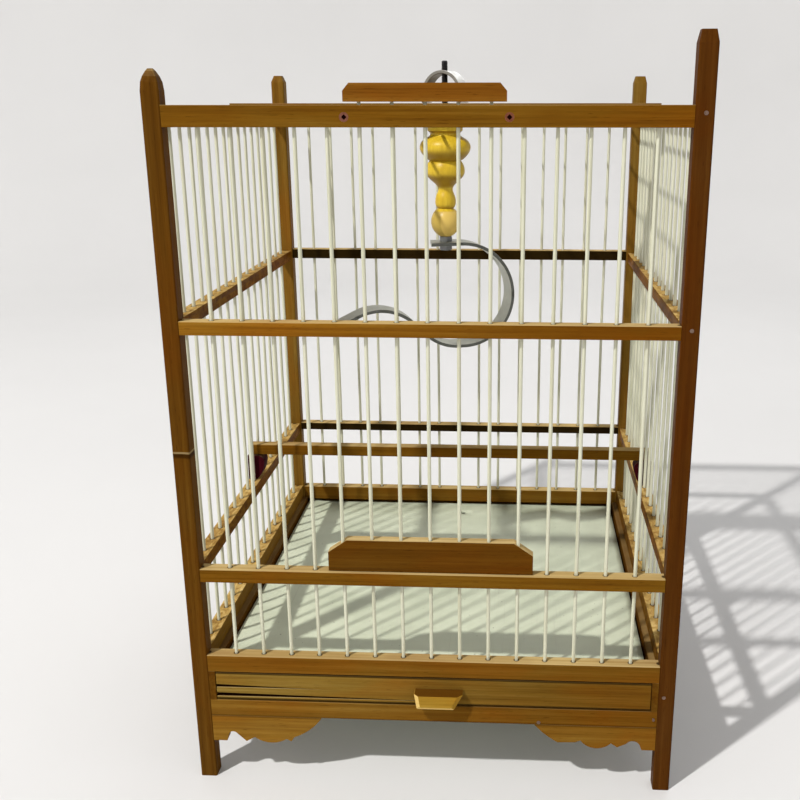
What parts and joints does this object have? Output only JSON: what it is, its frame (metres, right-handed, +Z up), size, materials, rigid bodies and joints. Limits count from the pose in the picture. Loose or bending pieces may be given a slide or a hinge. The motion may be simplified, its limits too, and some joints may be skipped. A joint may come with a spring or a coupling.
{
  "type": "bird cage",
  "caption": "Square bamboo bird cage on four legs with thin pale bars, a lift-up door, a slide-out floor tray, a loose perch and a turned hanger with a strap hook.",
  "frame": {"origin": "on the floor under the middle of the cage's whole outline, the tray knob included", "axes": "+Z up along the legs, -Y towards the door and the tray front, +X to the cage's right seen from the front"},
  "size_m": [0.2644, 0.2722, 0.3979],
  "materials": {
    "post_bamboo": "lacquered",
    "rail_bamboo": "lacquered",
    "base_wood": "bare, dusty",
    "bar_rod": "satin",
    "floor_sheet": "matte",
    "knob_wood": "cut bamboo, satin",
    "finial_wood": "glossy lacquer",
    "dark_wood": "stained",
    "zinc_steel": "zinc plated",
    "rod_steel": "dull",
    "nail_steel": "rust-stained"
  },
  "bodies": {
    "cage": {"back_bars": "bar_rod", "base_rail_back": "rail_bamboo", "base_rail_front": "rail_bamboo", "base_rail_left": "rail_bamboo", "base_rail_right": "rail_bamboo", "bottom_rail_back": "rail_bamboo", "bottom_rail_front": "rail_bamboo", "bottom_rail_left": "rail_bamboo", "bottom_rail_right": "rail_bamboo", "bracket_left": "rail_bamboo", "bracket_right": "rail_bamboo", "door_plugs": "dark_wood", "frame_nails": "nail_steel", "front_bars": "bar_rod", "front_short_bars": "bar_rod", "left_bars": "bar_rod", "lower_rail_back": "rail_bamboo", "lower_rail_front": "rail_bamboo", "lower_rail_left": "rail_bamboo", "lower_rail_right": "rail_bamboo", "perch_block_left": "dark_wood", "perch_block_right": "dark_wood", "post_back_left": "post_bamboo", "post_back_right": "post_bamboo", "post_front_left": "post_bamboo", "post_front_right": "post_bamboo", "right_bars": "bar_rod", "roof_bars": "bar_rod", "roof_batten": "rail_bamboo", "top_rail_back": "rail_bamboo", "top_rail_front": "rail_bamboo", "top_rail_left": "rail_bamboo", "top_rail_right": "rail_bamboo", "tray_bay_back": "base_wood", "tray_guide_left": "base_wood", "tray_guide_right": "base_wood", "tray_runner_left": "base_wood", "tray_runner_right": "base_wood", "upper_rail_back": "rail_bamboo", "upper_rail_front": "rail_bamboo", "upper_rail_left": "rail_bamboo", "upper_rail_right": "rail_bamboo"},
    "door": {"door_sill": "rail_bamboo", "door_head": "rail_bamboo", "door_bars": "bar_rod"},
    "tray": {"tray_front": "rail_bamboo", "tray_knob": "knob_wood", "tray_side_left": "base_wood", "tray_side_right": "base_wood", "tray_back": "base_wood", "tray_sheet": "floor_sheet"},
    "perch_body": {"perch": "rail_bamboo"},
    "hanger": {"threaded_rod": "rod_steel", "finial": "finial_wood", "hook_nuts": "zinc_steel", "hook_strap": "zinc_steel"},
    "wing": {"wing_nut": "zinc_steel"}
  },
  "joints": [
    {"name": "door_lift", "type": "slide", "parent": "cage", "child": "door", "axis": [0, 0, 1], "range_m": [0, 0.109]},
    {"name": "tray_slide", "type": "slide", "parent": "cage", "child": "tray", "axis": [0, -1, 0], "range_m": [0, 0.2]},
    {"name": "perch_lift", "type": "slide", "parent": "cage", "child": "perch_body", "axis": [0, 0, 1], "range_m": [0, 0.04]},
    {"name": "hanger_turn", "type": "hinge", "parent": "cage", "child": "hanger", "pos_m": [0, 0.004, 0.32], "axis": [0, 0, 1], "continuous": true},
    {"name": "wing_turn", "type": "hinge", "parent": "hanger", "child": "wing", "pos_m": [0, 0.004, 0.375], "axis": [0, 0, 1], "continuous": true}
  ]
}
